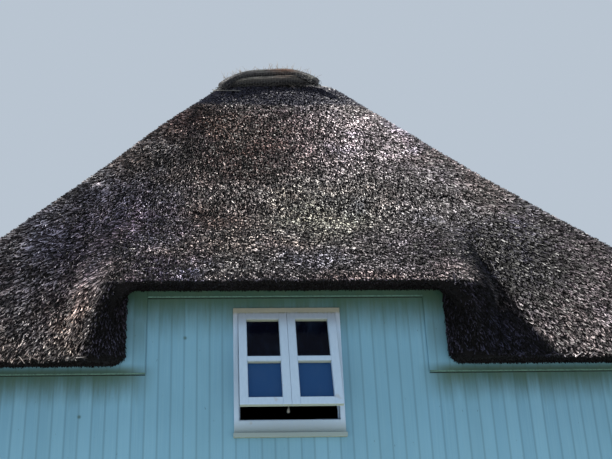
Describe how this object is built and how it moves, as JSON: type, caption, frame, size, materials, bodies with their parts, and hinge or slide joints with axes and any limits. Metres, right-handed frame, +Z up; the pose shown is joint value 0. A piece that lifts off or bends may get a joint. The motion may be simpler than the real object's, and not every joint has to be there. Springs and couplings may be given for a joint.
{
  "type": "thatched cottage",
  "caption": "Cottage with board walls, a hipped thatch roof whose eave lifts over a window in each gable, a reed ridge, small casement windows and a side door.",
  "frame": {"origin": "on the ground, at the middle of the house", "axes": "+Z up, -Y out of the front gable, +X out of the long wall with the door"},
  "size_m": [9.06, 12.22, 8.7121],
  "materials": {
    "thatch": "weathered water reed, matt",
    "ridge_reed": "weathered reed under netting",
    "painted_boards": "satin paint on boards",
    "white_wood": "white satin paint",
    "window_glass": "clear glass",
    "plinth": "rough fieldstone and mortar",
    "floor_boards": "scrubbed boards",
    "bare_steel": "worn"
  },
  "bodies": {
    "root": {"plinth_front": "plinth", "plinth_back": "plinth", "plinth_left": "plinth", "plinth_right": "plinth", "ground_floor": "floor_boards", "upper_floor": "floor_boards", "wall_front": "painted_boards", "wall_back": "painted_boards", "wall_left": "painted_boards", "wall_right": "painted_boards", "thatch_front": "thatch", "thatch_back": "thatch", "thatch_left": "thatch", "thatch_right": "thatch", "ridge_cap": "ridge_reed", "ridge_roll_upper_front": "ridge_reed", "ridge_roll_lower_front": "ridge_reed", "ridge_roll_upper_back": "ridge_reed", "ridge_roll_lower_back": "ridge_reed", "border_front_left": "painted_boards", "border_front_right": "painted_boards", "border_front_top": "painted_boards", "border_back": "painted_boards", "border_left": "painted_boards", "border_right": "painted_boards", "gable_window_frame": "white_wood", "gable_window_sill": "white_wood", "gable_window_sash_left": "white_wood", "gable_window_sash_right": "white_wood", "gable_window_glass_left": "window_glass", "gable_window_glass_right": "window_glass", "window_front_1": "white_wood", "window_front_2": "white_wood", "window_back_1": "white_wood", "window_back_2": "white_wood", "window_back_gable": "white_wood", "window_left_1": "white_wood", "window_left_2": "white_wood", "window_right_1": "white_wood", "window_right_2": "white_wood", "glass_front_ground": "window_glass", "glass_back_ground": "window_glass", "glass_back_gable": "window_glass", "glass_left_ground": "window_glass", "glass_right_ground": "window_glass", "door_frame": "white_wood", "door_leaf": "painted_boards", "door_knob": "bare_steel", "door_step": "plinth"}
  },
  "joints": []
}
